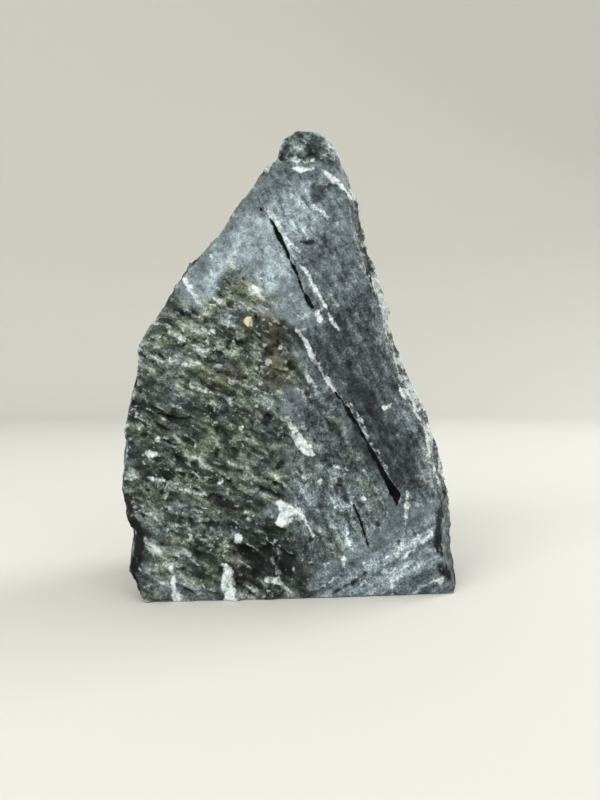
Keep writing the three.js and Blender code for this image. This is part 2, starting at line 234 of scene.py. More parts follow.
# Where each kind of surface lies, in millimetres on the broad face: x to the right, z up.
ROUGH_OUTLINE = [
    (-76, -4), (2, -4), (7, 6), (-2, 16), (3, 28), (-6, 40), (-1, 52), (-5, 64), (0, 76), (-2, 88),
    (4, 100), (3, 113), (0, 124), (-8, 131), (-15, 139), (-26, 148), (-32, 143), (-42, 136), (-56, 139),
    (-76, 128), (-82, 80), (-84, 50), (-80, 26),
]
KNOB_OUTLINE = [
    (-18, 196), (-4, 199), (8, 198), (18, 200), (26, 197), (36, 206), (24, 212), (16, 224), (-2, 224),
    (-14, 212),
]
SCORED_OUTLINE = [(6, -2), (10, 8), (24, 17), (40, 22), (54, 29), (64, 38), (74, 44), (84, 40), (84, -2)]
SHEET_OUTLINE = [
    (-15, 184), (-7, 168), (-1, 160), (6, 147), (11, 138), (14, 129), (9, 121), (10, 112), (15, 103),
    (20, 96), (25, 87), (34.5, 71), (44, 53), (50, 41), (60, 40), (80, 46), (50, 200), (20, 196),
    (-7, 196),
]
BANDED_OUTLINE = [
    (4, 112), (20, 92), (32, 70), (44, 48), (46, 34), (36, 24), (16, 14), (4, 18), (0, 40), (2, 70),
]


def zones(skin):
    """Where each point lies, and how far it is in each kind of surface, from 0 to 1.

    Sheet is the raised dark sheet and banded the streaky stone below it. Smooth is all of the broad face
    that isn't broken rough. Rim and inner fade out towards the face's edges, and flat towards any edge.
    """
    x = skin.points[:, 0] + DRAWN_MIDDLE
    z = skin.points[:, 2]
    depth = skin.points[:, 1] + FACE_OFFSET - skin.points[:, [0, 2]] @ FACE_SLOPE[[0, 2]]
    layered = np.stack([x, depth, z], 1)
    around = skin.relaxed(skin.normals, 14)
    looks_out, flatness = around @ facing, np.linalg.norm(around, axis=1)
    on_face = step_up(looks_out, 0.25, 0.6) * fading(depth, 9, 16)
    ragged = 6 * lumps(layered, 13, 3) + 2.5 * lumps(layered, 4.5, 4)
    rough = on_face * step_up(inside_by(ROUGH_OUTLINE, x, z) + ragged, -5, 4)
    knob = on_face * step_up(inside_by(KNOB_OUTLINE, x, z) + ragged * 0.5, -2, 2)
    scored = on_face * step_up(inside_by(SCORED_OUTLINE, x, z) + ragged * 0.35, -4, 4)
    sheet = on_face * step_up(inside_by(SHEET_OUTLINE, x, z), -0.6, 0.6) * (1 - knob) * (1 - scored)
    banded = on_face * step_up(inside_by(BANDED_OUTLINE, x, z) + ragged * 0.5, -3, 4) * (1 - rough)
    return {
        "x": x, "z": z, "depth": depth, "layered": layered, "on_face": on_face, "rough": rough,
        "knob": knob, "scored": scored, "sheet": sheet, "banded": banded, "sides": 1 - on_face,
        "smooth": on_face * (1 - np.maximum(rough, knob)), "rim": step_up(looks_out, 0.55, 0.9),
        "inner": step_up(looks_out, 0.84, 0.95), "flat": step_up(flatness, 0.86, 0.96),
    }


# Flakes: thin angular plates that splitting left on the broken parts. They lie along the layers, each
# standing proud along its lower edge, and are fused to the stone.
FLAKE_COUNT = 5
flakes = bpy.data.collections.new("flakes")
for number in range(FLAKE_COUNT):
    draw = np.random.default_rng(100 + number)
    corners = 6 + number % 3
    form = bmesh.new()
    for share, height in ((1.0, -0.45), (1.0, 0.02), (0.8, 0.2)):
        for k in range(corners):
            angle = (k + draw.uniform(-0.35, 0.35)) / corners * 2 * math.pi
            reach = share * draw.uniform(0.78, 1.08)
            across = 0.5 * reach * math.sin(angle)
            lip = -0.3 * across if height > 0 else 0
            form.verts.new((reach * math.cos(angle), across, height + lip))
    bmesh.ops.convex_hull(form, input=form.verts)
    bmesh.ops.delete(form, geom=[v for v in form.verts if not v.link_faces], context="VERTS")
    flake_mesh = bpy.data.meshes.new("flake")
    form.to_mesh(flake_mesh)
    form.free()
    flakes.objects.link(bpy.data.objects.new(f"flake_{number}", flake_mesh))


def node(tree, kind, settings=None, **inputs):
    """A node with its settings. Inputs go by name, or by number as i0 or i1, and sockets are wired."""
    made = tree.nodes.new(kind)
    for key, value in (settings or {}).items():
        setattr(made, key, value)
    for key, value in inputs.items():
        socket = made.inputs[int(key[1:]) if key[1:].isdigit() else key.replace("_", " ")]
        if isinstance(value, bpy.types.NodeSocket):
            tree.links.new(value, socket)
        else:
            socket.default_value = value
    return made


def math_node(tree, operation, *values):
    """One step of arithmetic on sockets and numbers."""
    numbered = {f"i{k}": value for k, value in enumerate(values)}
    return node(tree, "ShaderNodeMath", {"operation": operation}, **numbered).outputs[0]


def scatter_tree():
    """Geometry nodes that scatter flakes over a mesh, where an attribute says so, and join them to it."""
    tree = bpy.data.node_groups.new("flakes on the stone", "GeometryNodeTree")
    for name, kind in (
        ("Geometry", "Geometry"), ("Flakes", "Collection"), ("Stone", "Material"), ("Where", "String"),
        ("Spacing", "Float"), ("Density", "Float"), ("Smallest", "Float"), ("Largest", "Float"),
        ("Thickness", "Float"), ("Layers face", "Vector"), ("Lie", "Vector"), ("Turn", "Float"),
        ("Turn spread", "Float"), ("Tilt", "Float"), ("Tilt spread", "Float"), ("Seed", "Int"),
    ):
        tree.interface.new_socket(name, in_out="INPUT", socket_type=f"NodeSocket{kind}")
    tree.interface.new_socket("Geometry", in_out="OUTPUT", socket_type="NodeSocketGeometry")
    given = tree.nodes.new("NodeGroupInput").outputs

    add, calculate = functools.partial(node, tree), functools.partial(math_node, tree)

    def about(middle, spread, salt):
        """A random number within a spread of a middle, drawn once for each flake."""
        low, high = calculate("SUBTRACT", middle, spread), calculate("ADD", middle, spread)
        seed = calculate("ADD", given["Seed"], float(salt))
        return add("FunctionNodeRandomValue", {"data_type": "FLOAT"}, i2=low, i3=high, Seed=seed).outputs[1]

    where = add("GeometryNodeInputNamedAttribute", {"data_type": "FLOAT"}, Name=given["Where"])
    spots = add(
        "GeometryNodeDistributePointsOnFaces", {"distribute_method": "POISSON"}, Mesh=given["Geometry"],
        Distance_Min=given["Spacing"], Density_Max=given["Density"], Density_Factor=where.outputs[0],
        Seed=given["Seed"],
    )
    middle = calculate("MULTIPLY", calculate("ADD", given["Smallest"], given["Largest"]), 0.5)
    half = calculate("MULTIPLY", calculate("SUBTRACT", given["Largest"], given["Smallest"]), 0.5)
    size = about(middle, half, 1)

    # A flake lies nearly flush where the surface follows the layers, and is sunk deep where they end.
    along = add(
        "ShaderNodeVectorMath", {"operation": "DOT_PRODUCT"}, i0=spots.outputs["Normal"],
        i1=given["Layers face"],
    )
    sunk = calculate("MULTIPLY_ADD", calculate("ABSOLUTE", along.outputs["Value"]), 0.95, -0.95)
    sunk = calculate("MULTIPLY_ADD", given["Thickness"], -0.14, sunk)
    shift = add(
        "ShaderNodeVectorMath", {"operation": "SCALE"}, i0=spots.outputs["Normal"],
        Scale=calculate("MULTIPLY", sunk, size),
    )
    seated = add("GeometryNodeSetPosition", Geometry=spots.outputs["Points"], Offset=shift.outputs[0])
    kinds = add(
        "GeometryNodeCollectionInfo", Collection=given["Flakes"], Separate_Children=True,
        Reset_Children=True,
    )
    pick = add("FunctionNodeRandomValue", {"data_type": "INT"}, i4=0, i5=FLAKE_COUNT - 1)
    stretch = add("ShaderNodeCombineXYZ", X=size, Y=size, Z=calculate("MULTIPLY", size, given["Thickness"]))
    placed = add(
        "GeometryNodeInstanceOnPoints", Points=seated.outputs[0], Instance=kinds.outputs[0],
        Pick_Instance=True, Instance_Index=pick.outputs[2], Rotation=given["Lie"],
        Scale=stretch.outputs[0],
    )
    turn = add("ShaderNodeCombineXYZ", Z=about(given["Turn"], given["Turn spread"], 2))
    placed = add("GeometryNodeRotateInstances", Instances=placed.outputs[0], Rotation=turn.outputs[0])
    tilt = add(
        "ShaderNodeCombineXYZ", X=about(given["Tilt"], given["Tilt spread"], 3),
        Y=about(0.0, given["Tilt spread"], 4),
    )
    placed = add("GeometryNodeRotateInstances", Instances=placed.outputs[0], Rotation=tilt.outputs[0])
    both = tree.nodes.new("GeometryNodeJoinGeometry")
    tree.links.new(given["Geometry"], both.inputs[0])
    tree.links.new(placed.outputs[0], both.inputs[0])
    whole = add("GeometryNodeRealizeInstances", Geometry=both.outputs[0])
    dressed = add("GeometryNodeSetMaterial", Geometry=whole.outputs[0], Material=given["Stone"])
    tree.links.new(dressed.outputs[0], tree.nodes.new("NodeGroupOutput").inputs[0])
    return tree


SCATTER = scatter_tree()


def scatter(values):
    """A scatter on the block, with each of its inputs set by the socket's identifier."""
    modifier = block.modifiers.new("flakes", "NODES")
    modifier.node_group = SCATTER
    for socket in SCATTER.interface.items_tree:
        if socket.in_out == "INPUT" and socket.name in values:
            modifier[socket.identifier] = values[socket.name]


skin = Skin(remeshed(block, COARSE))
area = zones(skin)
off_foot = step_up(area["z"], 3, 7)
skin.keep("scaly", off_foot * np.maximum(area["rough"], 0.8 * area["knob"]) * area["inner"])
patchy = step_up(lumps(area["layered"], 34, 5) + 0.4 * lumps(area["layered"], 12, 59), -0.25, 0.25)
behind = step_up(area["depth"], 7, 15) * area["flat"]
skin.keep("split", off_foot * step_up(area["sides"], 0.3, 0.9) * behind * patchy)
lie = mathutils.Vector(facing).to_track_quat("Z", "Y").to_euler()
shared = {"Flakes": flakes, "Stone": stone, "Layers face": tuple(facing), "Lie": tuple(lie)}
scatter(shared | {
    "Where": "scaly", "Spacing": 0.0032, "Density": 80000.0, "Smallest": 0.0026, "Largest": 0.0078,
    "Thickness": 0.6, "Turn": math.radians(LAYERS_RUN), "Turn spread": math.radians(20),
    "Tilt": math.radians(7), "Tilt spread": math.radians(11), "Seed": 3,
})
scatter(shared | {
    "Where": "split", "Spacing": 0.008, "Density": 10000.0, "Smallest": 0.004, "Largest": 0.013,
    "Thickness": 0.32, "Turn": 0.0, "Turn spread": math.pi, "Tilt": 0.0,
    "Tilt spread": math.radians(6), "Seed": 8,
})
applied(block)
block_mesh = remeshed(block, FINE)
skin = Skin(block_mesh)
area = zones(skin)
x, z, depth, layered = area["x"], area["z"], area["depth"], area["layered"]
outward = skin.relaxed(skin.normals, 3)
outward /= np.linalg.norm(outward, axis=1)[:, None]
above_saw = step_up(z, SAW_CUT, 2.5)
relief = np.zeros(skin.count)
tone = np.zeros(skin.count)


def leaning(share):
    """How plates lean at random: by that share of the way from their middles."""
    return lambda leans, away: share * (leans * away).sum(1)


def break_into(mask, places, layers, lean_by):
    """Breaks the surface under a mask into plates of several sizes: (size, rise, salt, weight of tone)."""
    chosen = np.nonzero(mask > 0.01)[0]
    for size, rise, salt, weight in layers:
        plate, leans, away = plates(places[chosen], np.array(size), salt)
        uneven = np.clip(0.55 + 0.7 * lumps(layered[chosen], 12, salt + 5), 0.1, 1.2)
        relief[chosen] += mask[chosen] * uneven * (rise * (plate - 0.58) + lean_by(leans, away))
        tone[chosen] += mask[chosen] * weight * (plate * 2 - 1)


# The rough part between its flakes: plates that dip down to the right, crumbled, with deep pits.
crumbled = area["rough"] * (0.3 + 0.7 * area["rim"])
PLATES_RUN = -28  # degrees
dip = turned(x, z, PLATES_RUN)
dip[:, 0] += 3.0 * lumps(layered, 21, 22) + 1.2 * lumps(layered, 7, 23)
dip[:, 1] += 3.2 * lumps(layered, 30, 24) + 1.2 * lumps(layered, 9, 25)
break_into(
    crumbled, dip, [((7.5, 3.2), 1.0, 50, 0.4), ((3.4, 1.9), 0.5, 70, 0.4)],
    lambda leans, away: -0.14 * (1 + leans[:, 1]) * away[:, 1] + 0.14 * leans[:, 0] * away[:, 0],
)
relief += crumbled * (0.40 * lumps(layered, 3.4, 28) + 0.15 * lumps(layered, 1.7, 8))
relief += crumbled * (0.32 * lumps(dip / [5, 1], 2.6, 30) + 0.17 * lumps(dip / [4, 1], 1.5, 31))
pitted = lumps(dip / [1.9, 1], 3.6, 26) + 0.4 * lumps(layered, 2.2, 29)
relief -= crumbled * 1.6 * step_up(pitted, 0.44, 0.9)

# The knob: small angular breaks with no direction.
break_into(
    area["knob"], layered, [((6, 6, 6), 1.2, 90, 0.5), ((2.8, 2.8, 2.8), 0.55, 110, 0.5)],
    leaning(0.25),
)

# The sides and the back: clean where they split along the layers, and broken small between.
split_clean = area["sides"] * step_up(lumps(layered, 42, 40) + 0.4 * lumps(layered, 15, 41), 0.0, 0.3)
split_rough = area["sides"] * (1 - 0.8 * split_clean)
bedded = layered + 2.4 * lumps(layered, 14, 9)[:, None] + 0.9 * lumps(layered, 4, 42)[:, None]
break_into(
    split_rough, bedded,
    [((9, 5, 11), 1.3, 130, 0.3), ((4.4, 2.4, 5), 1.0, 150, 0.4), ((2.4, 1.4, 2.2), 0.5, 170, 0.3)],
    leaning(0.14),
)
break_into(
    area["sides"], bedded, [((24, 11, 28), 2.2, 240, 0.2), ((11, 5, 13), 0.9, 260, 0.2)],
    leaning(0.10),
)
relief += area["sides"] * (0.22 * lumps(layered, 3.2, 43) + 0.16 * lumps(layered, 1.7, 10))
relief -= split_rough * 1.2 * step_up(lumps(bedded / [1, 0.6, 1.4], 5, 44), 0.45, 0.85)

# The smooth faces: thin sheets that ended short, and drawn-out ridges along the way the stone slipped.
RIDGES_RUN = -64  # degrees
steep = turned(x, z, RIDGES_RUN)
steep[:, 1] += 1.6 * lumps(layered, 14, 12) + 0.5 * lumps(layered, 4, 45)
sheets_left = lumps(steep / [2.4, 1.0], 6.5, 13) + 0.55 * lumps(steep / [1.8, 1], 2.8, 14)
relief += area["smooth"] * 0.26 * (np.floor(sheets_left * 2.2) / 2.2)
relief += area["smooth"] * (0.10 * lumps(steep / [4, 1], 1.7, 15) + 0.10 * lumps(layered, 1.5, 16))
relief -= area["smooth"] * 0.6 * step_up(lumps(steep / [1.7, 1], 2.9, 27), 0.5, 0.85)
slip = np.maximum(area["sheet"], area["banded"])
relief += slip * (0.22 * lumps(steep / [10, 1], 2.6, 55) + 0.12 * lumps(steep / [7, 1], 1.5, 56))
relief += area["banded"] * (0.55 * lumps(steep / [8, 1], 4.2, 46) + 0.25 * lumps(steep / [5, 1], 2.0, 47))
ragged_bands = lumps(steep / [2.2, 1], 3.4, 63) + 0.5 * lumps(layered, 2.4, 64)
relief -= area["banded"] * 0.9 * step_up(ragged_bands, 0.4, 0.9)

# The scored foot: broad scrapes that climb to the right.
SCRAPES_RUN = 27  # degrees
scrape = turned(x, z, SCRAPES_RUN)
scrape[:, 1] += 0.6 * lumps(layered, 12, 48)
relief += area["scored"] * (0.24 * lumps(scrape / [9, 1], 3.4, 17) + 0.10 * lumps(scrape / [7, 1], 1.5, 18))

# Cracks, opened a little deeper than the block has them. Each is (x, z, half its width).
CRACKS = [
    [(-14.5, 179.7, 0.1), (-10.7, 175.5, 0.3), (-7.4, 170.4, 0.5), (-4.9, 165.3, 1.0), (-2.3, 160.3, 0.5),
     (0.6, 153.5, 0.35), (3.5, 147.7, 0.3), (6, 140.9, 0.4), (8.5, 135.9, 0.6), (10.6, 132.2, 0.5)],
    [(21, 92.5, 0.1), (26.2, 84.5, 0.4), (30.3, 78.5, 0.5), (34.4, 71.5, 0.5), (38.6, 64, 0.6),
     (42.8, 55.8, 0.8), (46.4, 50, 1.3), (48.8, 46, 1.9), (49.4, 41, 0.2)],
    [(29.3, 41.9, 0.1), (31.4, 37.1, 0.4), (33.4, 32.3, 0.6), (34.8, 27.5, 0.4), (36.8, 21.5, 0.1)],
]
CRACK_DEPTH = 1.3  # mm
CLEAR = 4.0  # mm from every crack
crack = np.full(skin.count, CLEAR)
for line in CRACKS:
    crack = np.minimum(crack, to_line(line, x, z))
ragged_crack = crack + 0.4 * lumps(layered, 3.5, 49) + 0.25 * lumps(layered, 1.5, 57)
crack = np.where(depth < FACE_REACH, ragged_crack, CLEAR)

# The rim on the right is bruised all the way down, from the edge of the raised sheet to the side: it is worn
# pale, partly talc and partly a painted highlight of light caught on the rim, and chipped. Each place is (x,
# z, half the width).
RUBBED_RIM = [
    (31, 191, 2.0), (35, 176, 1.2), (37.5, 163, 1.2), (41, 150, 1.4), (46, 134, 2.0), (50, 121, 2.8),
    (55, 106, 4.6), (60, 95, 5.4), (65, 84, 5.0), (69, 71, 4.4), (72, 58, 4.0), (74, 46, 3.0),
]
off_rim = to_line(RUBBED_RIM, x, z)
bruised_rim = step_up(-off_rim, -5, -1) * fading(depth, 14, 22) * (1 - area["rough"])
break_into(
    bruised_rim, layered, [((6, 6, 8), 1.3, 200, 0.4), ((2.8, 2.8, 3.6), 0.6, 220, 0.5)],
    leaning(0.2),
)
relief += bruised_rim * 0.25 * lumps(layered, 1.6, 58)

# Chipped arrises: what stands proud of its surroundings has lost small chips.
standing = ((skin.points - skin.relaxed(skin.points, 60)) * outward).sum(1)
CHIP_SIZE, CHIP_DEPTH = 4.2, 2.0  # mm
chip = plates(layered, CHIP_SIZE, 190)[0]
relief -= step_up(standing, 0.6, 2.2) * (1 - area["rough"]) * np.clip(chip - 0.45, 0, 1) * CHIP_DEPTH
MOST_OFF, MOST_PROUD = 3.2, 1.0  # mm, the most taken off the block, and added to it
relief = np.clip(relief, -MOST_OFF, MOST_PROUD)
relief -= CRACK_DEPTH * area["on_face"] * step_up(-crack, -0.4, 0.5)
EASE = 1.5  # mm, the last stretch before the block's box, where what stands proud is pressed back


def within_box(places):
    """Places pressed softly back inside the solid's box, with the sawn foot left flat."""
    room_low, room_high = box_low + EASE, box_high - EASE
    over = np.maximum(places - room_high, 0)
    under = np.maximum(room_low - places, 0)
    under[:, 2] = 0
    eased = np.clip(places, np.append(room_low[:2], -np.inf), room_high)
    return eased + EASE * np.tanh(over / EASE) - EASE * np.tanh(under / EASE)


shaped = within_box(skin.points + outward * (relief * above_saw)[:, None])
shaped[:, 2] = np.where(z < SAW_CUT, 0, np.maximum(shaped[:, 2], OFF_FLOOR))
skin.move_to(shaped)

# What the shape gives the colours: hollows, which get painted shading, and arrises that are bruised pale.
close = ((skin.relaxed(skin.points, 4) - skin.points) * skin.normals).sum(1)
wide = ((skin.relaxed(skin.points, 24) - skin.points) * skin.normals).sum(1)
hollow_shade = np.clip(step_up(close, 0.04, 0.42) * 0.6 + step_up(wide, 0.15, 1.3) * 0.7, 0, 1)
arris = np.clip(step_up(-close, 0.05, 0.36) * 0.6 + step_up(-wide, 0.25, 1.2) * 0.5, 0, 1)

# Bruises: where a blow or a scrape has crushed the stone to white talc. They are kept by how strong they
# are, from 0 to 1, and each is a line of (x, z, half its width).
BRUISES = {
    1.0: [
        [(4.9, 151.3, 0.4), (7.7, 149, 0.7), (10.6, 143.2, 0.5), (14, 137.5, 0.5), (17.4, 131.8, 0.6),
         (20.2, 124.9, 0.5), (23, 121.5, 0.2)],
        [(15.9, 197.9, 0.9), (20.5, 194.4, 1.4), (25.1, 190.3, 1.2), (29.7, 185.7, 0.7)],
        [(-49.5, 145.8, 0.9), (-47, 141.7, 1.6), (-44.1, 137.5, 0.9)],
        [(3.2, 121.3, 0.2), (8.1, 115.5, 0.5), (10.6, 108.9, 0.6), (13.9, 104, 0.8), (17.2, 99, 0.7),
         (20.1, 94.1, 0.5), (22.1, 90.8, 0.2)],
        [(-0.9, 81.4, 0.3), (1.6, 76.2, 1.0), (4.8, 69.7, 2.3), (8.1, 66.4, 2.5), (11.4, 64, 1.0)],
        [(-4.1, 42.3, 1.4), (-0.6, 38.8, 3.3), (-2.7, 34.1, 2.5)],
        [(2.8, 41.5, 0.7), (6.3, 36.7, 0.9), (11.1, 27.8, 0.4)],
        [(-28, 14.8, 1.8), (-27, 8, 2.8), (-25.7, 0.5, 3.0)], [(51.8, 93.6, 1.3), (53.9, 90.3, 1.0)],
        [(58.3, 85.9, 1.2), (61.6, 80.4, 1.4)], [(47.6, 121.2, 0.7), (52, 115.6, 1.5), (53.1, 110.1, 0.9)],
    ],
    0.8: [
        [(12.6, 130.1, 0.9), (14.3, 126.7, 1.2)], [(-18.7, 125.5, 1.6)],
        [(-2, 164, 0.4), (0.8, 161.1, 0.7)], [(-37, 156.9, 0.9), (-32.1, 152.3, 1.1)],
        [(2.6, 198.6, 0.7), (6.9, 198.1, 1.0), (11.1, 198.8, 0.5)],
        [(7.2, 179.6, 0.5), (12.3, 180.2, 0.8), (15.2, 177.8, 0.6), (18, 175.2, 0.6)], [(22.2, 172.6, 0.9)],
        [(31.6, 168.6, 0.6)], [(43.6, 85.4, 0.7), (47, 87.1, 1.0)],
        [(38.4, 151.1, 0.5), (41.7, 143.5, 0.6), (45, 134.2, 0.7), (47.4, 124.1, 0.6)],
        [(65.9, 74.9, 1.3), (64.6, 64.1, 0.9)], [(68.9, 53.3, 1.2)], [(10, 144.4, 0.6), (11.7, 139.8, 0.8)],
        [(-52.1, 16.7, 0.8), (-51, 9, 1.1), (-49.7, 1, 1.6)],
        [(-48.3, 49.3, 0.8), (-43, 48, 0.9), (-38.7, 47, 0.6)],
        [(-10.1, 7.3, 0.9), (-6, 8.6, 0.9), (-2.6, 6.5, 0.6), (0.8, 3.1, 0.4)],
        [(-62.5, 64.9, 1.2), (-60, 64.6, 0.8)], [(-31, 52.1, 1.3)], [(-22.2, 27.1, 1.5)],
        [(-26.4, 78.1, 0.8)], [(-21.9, 76.9, 0.8)], [(-0.1, 99.6, 1.0)], [(-26.5, 90.1, 1.1)],
        [(34.2, 43.9, 0.9)], [(20.9, 40.6, 0.6)], [(14.3, 51.7, 1.1)], [(-11, 1.9, 0.9)],
        [(24.3, 17.8, 0.6), (24.8, 13.4, 0.6)],
    ],
    0.6: [
        [(0.8, 161.1, 0.6), (4.9, 157.6, 0.8)], [(6.5, 153, 0.6)],
        [(-61.3, 113.5, 0.5), (-56, 109.3, 0.6), (-49.7, 105.5, 0.7), (-41.2, 106.1, 0.6)],
        [(-45.6, 113, 0.5), (-39.2, 112, 0.6), (-33.9, 112.5, 0.4)],
        [(-54.1, 120, 0.4), (-49.3, 116.2, 0.6)],
        [(-42.5, 120.6, 0.6), (-35.1, 120.6, 0.6), (-34, 117.4, 0.4)],
        [(-25.3, 98.6, 0.3), (-17.9, 96, 0.5), (-12.5, 92.8, 0.4), (-7.2, 91.2, 0.5), (-0.8, 88.5, 0.5)],
        [(1.9, 129.6, 0.4), (8.5, 127.1, 0.9)], [(-43.3, 135.5, 0.4), (-39.2, 131.4, 0.4)],
        [(2.6, 202.9, 0.5), (6, 201.7, 0.5), (10.2, 202.7, 0.5)],
        [(27.9, 87.9, 0.4), (32, 81.8, 0.6), (35.2, 75.2, 0.4)], [(40.5, 66, 0.2), (44.5, 58, 0.2)],
        [(8.1, 101.5, 1.0), (11.4, 95.7, 1.1)], [(4.8, 94.1, 1.0), (8.9, 90.8, 1.0)],
        [(-4.1, 53.2, 0.5), (-0.6, 49.1, 0.5)], [(-4.4, 27.4, 0.25), (-4.3, 9.9, 0.25)],
        [(5.6, 17.1, 0.6), (9.7, 16, 0.6)], [(16.6, 14.9, 0.3), (20.1, 17.5, 0.4), (24.3, 18.8, 0.5)],
        [(27.4, 2.8, 0.3), (37, 8.2, 0.6), (48.7, 13.6, 0.5)],
        [(57.2, 0.4, 0.4), (65.1, 5.8, 0.6), (72.9, 9.4, 0.5)],
        [(13.1, 5, 0.2), (24.6, 10.3, 0.4), (34.2, 14.8, 0.4), (41.9, 18.4, 0.3)],
        [(47.7, 14.6, 0.3), (57.5, 21, 0.5), (66.4, 29.3, 0.4)],
        [(54.5, 46.6, 0.5), (53.9, 39, 0.6), (52.8, 30.5, 0.5), (52.2, 24.8, 0.4), (49.7, 19.2, 0.4),
         (48.2, 13.6, 0.6), (46.6, 6.2, 0.4), (46.6, 1, 0.3)],
        [(-69.5, 55.8, 0.3), (-61.3, 54.7, 0.5), (-54, 52.6, 0.6), (-47.8, 49.4, 0.7)], [(21, 59.2, 0.6)],
        [(25.9, 56.4, 0.8)], [(7, 53.8, 0.6)], [(-38.5, 93.9, 1.6)], [(-34.5, 104.5, 1.2)],
        [(-15.3, 104.1, 1.0)], [(-3.9, 113, 1.4)], [(-10.1, 131.4, 0.8)], [(-9.2, 106.6, 1.0)],
        [(-71.4, 72, 0.6)], [(-58.9, 71.5, 0.8)], [(-67.1, 77.1, 0.9)], [(-37.3, 54.4, 1.1)],
        [(-54.9, 53.1, 0.8)], [(-54.5, 47.2, 0.6)], [(-56.9, 40.6, 0.8)], [(-63.4, 34.9, 0.9)],
        [(-45.8, 34.3, 0.6)], [(-18.2, 35.8, 0.8)], [(-2.2, 50.3, 0.8)], [(69.6, 5.8, 1.0)], [(61, 4, 0.9)],
    ],
}
crushed = 0.5 * lumps(layered, 4.5, 60) + 0.55 * lumps(layered, 2.2, 61)
bruise = np.zeros(skin.count)
for strength, lines in BRUISES.items():
    raggedness = 2.2 - 1.2 * strength
    for line in lines:
        within = raggedness * crushed - to_line(line, x, z)
        bruise = np.maximum(bruise, strength * step_up(within, -1.1, 0.7))
bruise *= fading(depth, 5, 12) * (0.85 + 0.3 * lumps(layered, 7, 62))

# The pale rim is patchy, and reaches round on to the side: partly talc, and partly a painted highlight for
# the light the right rim catches.
patches = lumps(layered, 7, 66) + 0.6 * lumps(layered, 3, 67)
rubbed_and_highlit = step_up(1.5 * patches - off_rim, -1.8, 1.2) * fading(depth, 14, 21)
rubbed_and_highlit *= 0.3 + 0.7 * step_up(patches, -0.4, 0.3)

# Black breaks and painted shadow: dark colour put into the shadowed notches of both edges and the dip over
# the foot, standing for their shadow, and freshly broken dark chlorite left rough elsewhere. They are kept
# by how strong they are, as the bruises are.
BLACK_BREAKS_AND_SHADOWS = {
    1.0: [
        [(-75, 46.5, 2.8), (-73, 40, 4.2), (-70.4, 34.2, 4.4), (-69, 29, 4.6), (-68.2, 23.8, 4.0),
         (-68, 18.7, 2.8), (-69.2, 12.5, 1.6), (-66.8, 4.3, 1.5), (-64.8, 0, 1.4)],
        [(-66.4, 122.6, 0.7), (-69.2, 118.2, 1.4), (-71.2, 111.7, 2.0), (-71.6, 103, 2.0),
         (-72.4, 94.4, 2.2), (-73, 89, 1.2)],
        [(-43, 156, 0.3), (-51.5, 146.5, 0.6), (-59, 131.5, 0.5)],
        [(72, 41, 1.2), (70.3, 36, 2.4), (69, 29, 2.8), (68.6, 21, 2.2), (71, 18, 1.4)],
        [(68.6, 13.6, 1.2), (71, 11, 2.4), (74, 8, 2.2)], [(5.2, 162.8, 0.9), (10.6, 163, 1.0)],
        [(36.7, 152.8, 0.9), (37.6, 148, 1.1), (38.4, 145.2, 0.8)], [(16.8, 62, 1.3)], [(23.1, 53, 1.3)],
        [(40.4, 32.5, 1.6)], [(-3, 60.8, 1.8)],
        [(20.2, 2.5, 0.5), (25.5, 5.2, 0.4), (32.2, 9.2, 0.6), (38, 13.3, 0.4), (43.9, 16.5, 0.2)],
    ],
    0.8: [
        [(-13.5, 197.5, 1.0), (-16, 193, 0.8)], [(-4, 204, 1.4), (-1, 209, 1.6)], [(5, 214, 1.4)],
        [(8.6, 207.4, 2.0), (12.8, 204.5, 1.4)], [(10.6, 189.8, 1.6), (14.6, 188.4, 2.6), (18.6, 190, 1.6)],
        [(11.6, 184.6, 2.2), (15, 185, 1.8)], [(48.3, 95.7, 1.5)], [(3, 104, 1.6), (6, 99, 1.2)],
        [(-3, 124, 1.6), (3, 119, 1.8), (6, 113, 1.2)], [(-51.7, 81.9, 2.8), (-46, 79, 1.6)],
        [(-28.5, 72.1, 2.2)], [(-10.6, 80.3, 2.6)], [(-30.5, 44, 2.6), (-25, 41, 1.2)], [(62, 86, 1.0)],
        [(66.5, 73, 0.9)], [(57.5, 99, 1.0)], [(52, 110, 0.8)], [(-20, 15, 2.0), (-14, 12, 3.0)],
        [(-8, 18, 2.0)], [(8, 93, 1.0), (11, 88, 1.0)], [(1, 89, 1.2)], [(20, 79, 0.8), (23, 73, 0.7)],
        [(9, 59, 1.0)], [(27, 63, 0.8), (30, 57, 0.8)],
    ],
    0.55: [
        [(-23, 22, 2.4), (-16, 17, 5.0), (-10, 20, 4.5), (-5, 17, 4.0)], [(-10, 11, 3.6), (-6, 22, 2.6)],
        [(0, 19, 3.4), (3, 12, 3.2), (7, 5, 2.2)], [(-40, 22, 3), (-34, 18, 2)],
        [(-34, 62, 3), (-28, 58, 2)], [(-56, 62, 3), (-48, 60, 2)], [(-14, 68, 3), (-8, 64, 2)],
        [(-60, 92, 2), (-54, 89, 2)],
    ],
}
black_and_shadow = np.zeros(skin.count)
for strength, lines in BLACK_BREAKS_AND_SHADOWS.items():
    for line in lines:
        edge = -to_line(line, x, z) + 0.9 * lumps(layered, 4, 50) + 0.7 * lumps(layered, 1.8, 51)
        black_and_shadow = np.maximum(black_and_shadow, strength * step_up(edge, -0.8, 0.9))
black_and_shadow *= fading(depth, 19, 27)

